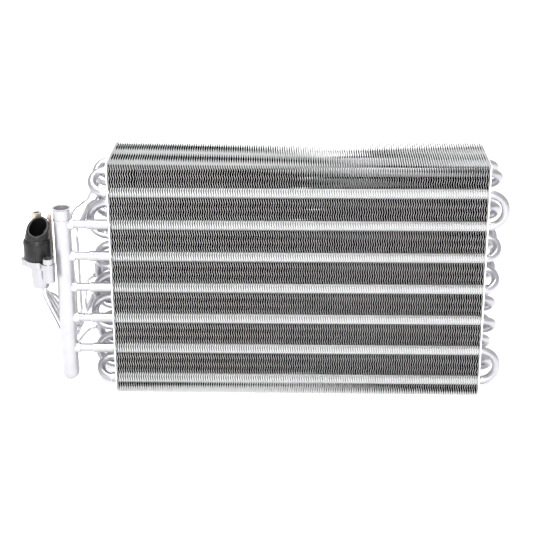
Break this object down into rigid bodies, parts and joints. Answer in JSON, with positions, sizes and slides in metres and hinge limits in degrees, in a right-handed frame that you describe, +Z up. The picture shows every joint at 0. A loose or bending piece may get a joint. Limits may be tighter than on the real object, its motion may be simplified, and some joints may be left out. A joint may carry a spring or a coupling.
{
  "type": "evaporator core",
  "caption": "Finned tube evaporator core with hairpin and return bends, a suction header, a capillary distributor and a rubber boot over its port.",
  "frame": {"origin": "middle of the fin block's bottom face", "axes": "+X along the tubes towards the hairpin bends, +Y from the front face to the back, +Z up"},
  "size_m": [0.4602, 0.0923, 0.233],
  "materials": {
    "plate": "bright rolled sheet",
    "fin": "thin bright foil, rippled",
    "tube": "drawn tube, satin",
    "fitting": "machined, satin",
    "tan_metal": "dull passivated metal",
    "boot": "moulded, worn satin",
    "seal": "moulded"
  },
  "bodies": {
    "root": {"end_plate_left": "plate", "end_plate_right": "plate", "fin_pack_left": "fin", "fin_pack_right": "fin", "hairpin_01": "tube", "hairpin_02": "tube", "hairpin_03": "tube", "hairpin_04": "tube", "hairpin_05": "tube", "hairpin_06": "tube", "hairpin_07": "tube", "hairpin_08": "tube", "hairpin_09": "tube", "hairpin_10": "tube", "hairpin_11": "tube", "hairpin_12": "tube", "hairpin_13": "tube", "hairpin_14": "tube", "hairpin_15": "tube", "hairpin_16": "tube", "hairpin_17": "tube", "return_bend_01": "tube", "return_bend_02": "tube", "return_bend_03": "tube", "return_bend_04": "tube", "return_bend_05": "tube", "return_bend_06": "tube", "return_bend_07": "tube", "return_bend_08": "tube", "return_bend_09": "tube", "return_bend_10": "tube", "return_bend_11": "tube", "return_bend_12": "tube", "suction_header": "tube", "header_stub_1": "tube", "header_stub_2": "tube", "header_stub_3": "tube", "header_stub_4": "tube", "header_stub_5": "tube", "inlet_elbow_1": "tube", "inlet_elbow_2": "tube", "inlet_elbow_3": "tube", "inlet_elbow_4": "tube", "inlet_elbow_5": "tube", "capillary_1": "tube", "capillary_2": "tube", "capillary_3": "tube", "capillary_4": "tube", "capillary_5": "tube", "distributor": "fitting", "clamp_flange": "fitting", "flange_screw": "fitting", "rubber_boot": "boot", "inlet_pipe": "tan_metal", "retaining_clip": "tan_metal", "seal_ring": "seal"}
  },
  "joints": []
}
